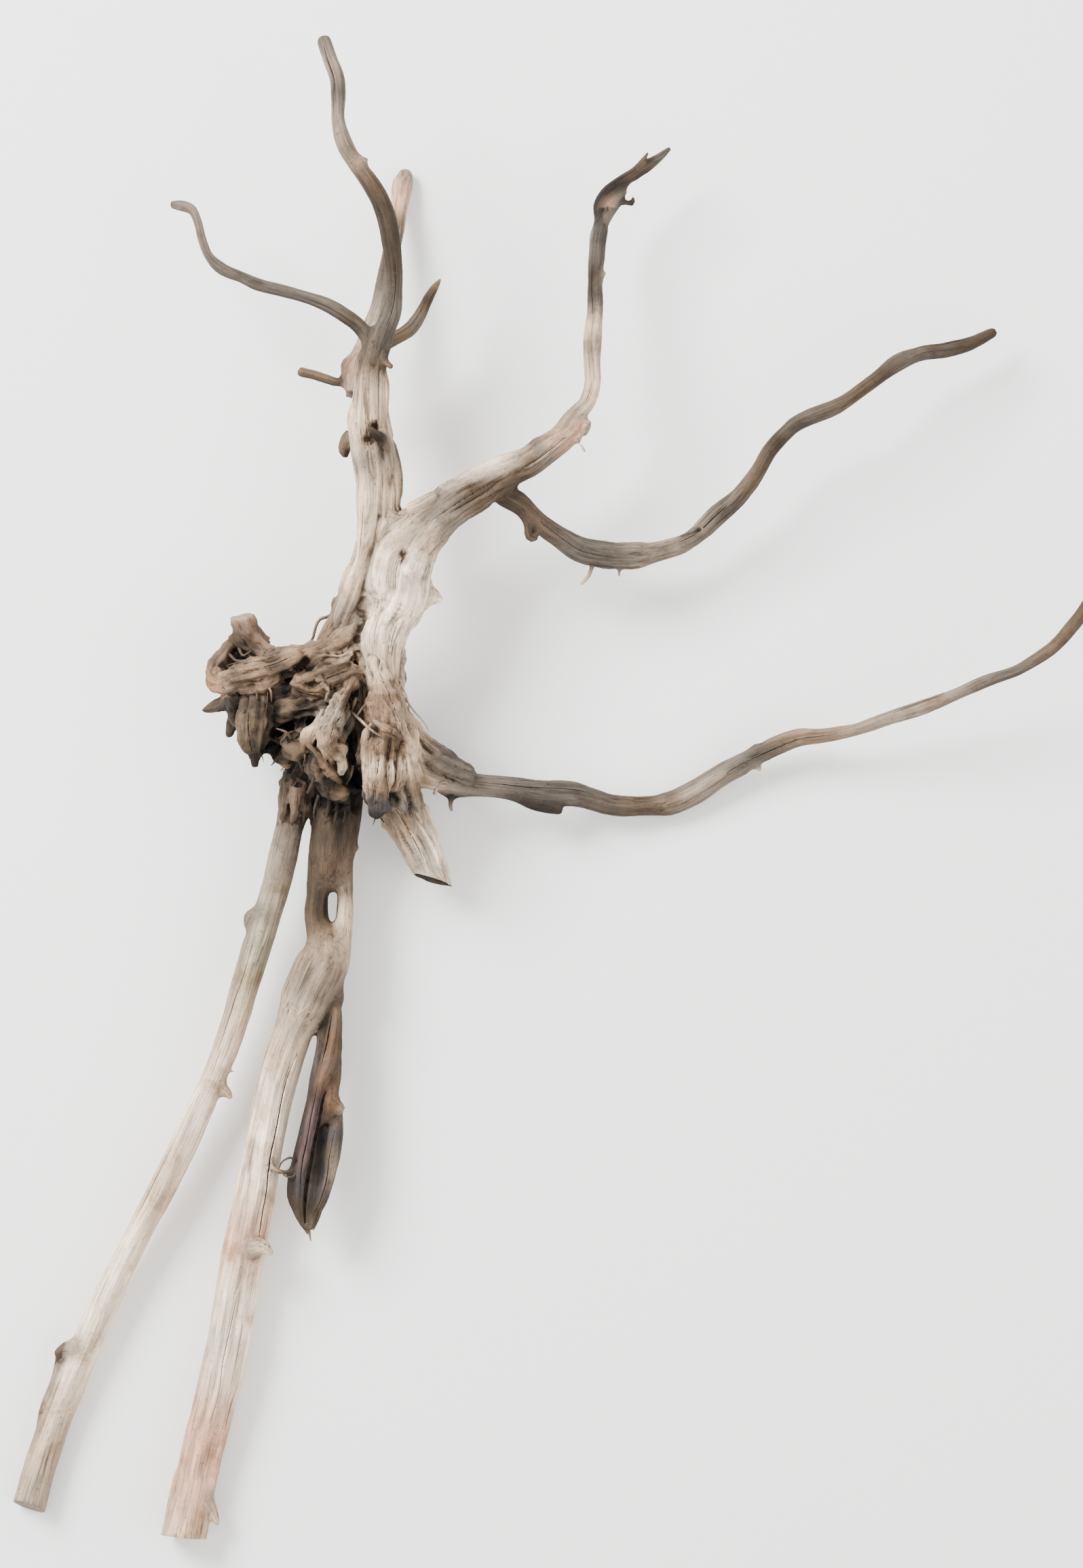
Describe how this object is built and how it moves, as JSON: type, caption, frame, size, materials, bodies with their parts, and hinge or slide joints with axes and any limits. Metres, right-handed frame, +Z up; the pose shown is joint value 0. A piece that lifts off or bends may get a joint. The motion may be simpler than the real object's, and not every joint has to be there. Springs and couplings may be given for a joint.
{
  "type": "driftwood branch",
  "caption": "Weathered driftwood: an uprooted sapling with sawn stems, a knotted root ball, a twisted trunk and long bare roots, lying flat.",
  "frame": {"origin": "on the surface the piece lies on, under the middle of its outline", "axes": "+Z up from the surface; +Y along the length, from the sawn stems to the root tips; +X towards the long side roots"},
  "size_m": [0.8144, 1.1035, 0.1355],
  "materials": {
    "weathered_wood": "dry, matt, silver-grey bare wood with brown and near-black hollows"
  },
  "bodies": {
    "root": {"driftwood": "weathered_wood"}
  },
  "joints": []
}
